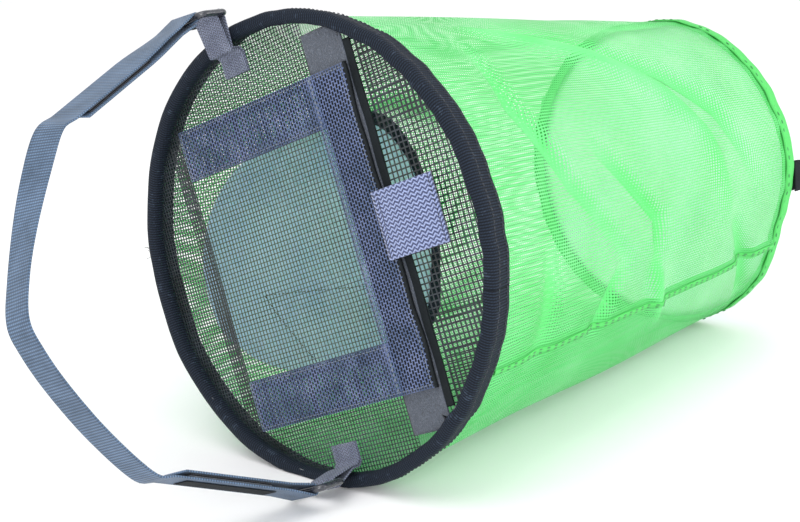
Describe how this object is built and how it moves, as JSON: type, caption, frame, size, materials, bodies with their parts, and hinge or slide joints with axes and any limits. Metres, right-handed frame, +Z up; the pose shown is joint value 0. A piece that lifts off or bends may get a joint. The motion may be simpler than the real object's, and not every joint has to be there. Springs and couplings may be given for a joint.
{
  "type": "rope storage bag",
  "caption": "Tapered mesh rope bag lying on its side, with a hooped mouth, a mesh cover with a hook-and-loop door flap, a round cloth base and a webbing handle on D-rings.",
  "frame": {"origin": "on the floor, under the centre of the whole object's bounding box, with the bag lying on its side", "axes": "+Y from the mouth towards the base along the bag's length, +Z up, +X across the bag"},
  "size_m": [0.346, 0.6976, 0.3406],
  "materials": {
    "green_mesh": "open net, slight sheen",
    "pale_cloth": "coated, matt",
    "rim_tape": "ribbed tape",
    "black_mesh": "coated square net",
    "grey_mesh_band": "open brick-pattern net",
    "loop_felt": "felted loop pile",
    "black_tape": "woven tape",
    "chevron_tape": "chevron weave",
    "webbing": "ribbed webbing",
    "ring_lacquer": "gloss",
    "spring_wire": "drawn wire"
  },
  "bodies": {
    "bag": {"side_panel": "green_mesh", "side_seam_tape": "green_mesh", "base_panel": "pale_cloth", "base_seam_binding": "rim_tape", "base_hem": "green_mesh", "base_loop": "black_tape", "rim_hoop": "spring_wire", "rim_binding": "rim_tape", "far_wall_panel": "pale_cloth", "far_wall_binding": "rim_tape", "mouth_panel": "black_mesh", "crescent_panel": "black_mesh", "loop_strip": "loop_felt", "crescent_edge_tape": "black_tape", "flap_hinge_tape": "black_tape", "upper_keeper": "webbing", "lower_keeper": "webbing"},
    "handle": {"handle_strap": "webbing", "upper_d_ring": "ring_lacquer", "lower_d_ring": "ring_lacquer", "upper_strap_loop": "loop_felt", "lower_strap_loop": "loop_felt", "lap_label": "black_tape"},
    "upper_lap": {"upper_lap": "webbing", "upper_lap_hook": "black_tape"},
    "lower_lap": {"lower_lap": "webbing", "lower_lap_hook": "black_tape"},
    "flap": {"flap_mesh": "black_mesh", "flap_closing_band": "grey_mesh_band", "flap_upper_band": "grey_mesh_band", "flap_lower_band": "grey_mesh_band", "hook_strip": "black_tape"},
    "tab": {"pull_tab": "chevron_tape"}
  },
  "joints": [
    {"name": "handle_swing", "type": "hinge", "parent": "bag", "child": "handle", "pos_m": [-0.02507, -0.12275, 0.17072], "axis": [-0.3661, 0.1298, 0.9215], "range_deg": [-60, 60], "deforming": ["upper_keeper", "lower_keeper"]},
    {"name": "upper_lap_peel", "type": "hinge", "parent": "handle", "child": "upper_lap", "pos_m": [-0.08642, -0.1249, 0.32731], "axis": [0.9304, 0.0329, 0.365], "range_deg": [0, 65]},
    {"name": "lower_lap_peel", "type": "hinge", "parent": "handle", "child": "lower_lap", "pos_m": [0.03634, -0.16921, 0.0184], "axis": [-0.9304, -0.0329, -0.365], "range_deg": [0, 65]},
    {"name": "flap_fold", "type": "hinge", "parent": "bag", "child": "flap", "pos_m": [-0.09676, -0.10883, 0.13031], "axis": [0.3665, -0.0836, -0.9267], "range_deg": [0, 145]},
    {"name": "tab_lift", "type": "hinge", "parent": "flap", "child": "tab", "pos_m": [0.07257, -0.10587, 0.19702], "axis": [0.3665, -0.0836, -0.9267], "range_deg": [0, 120]}
  ]
}
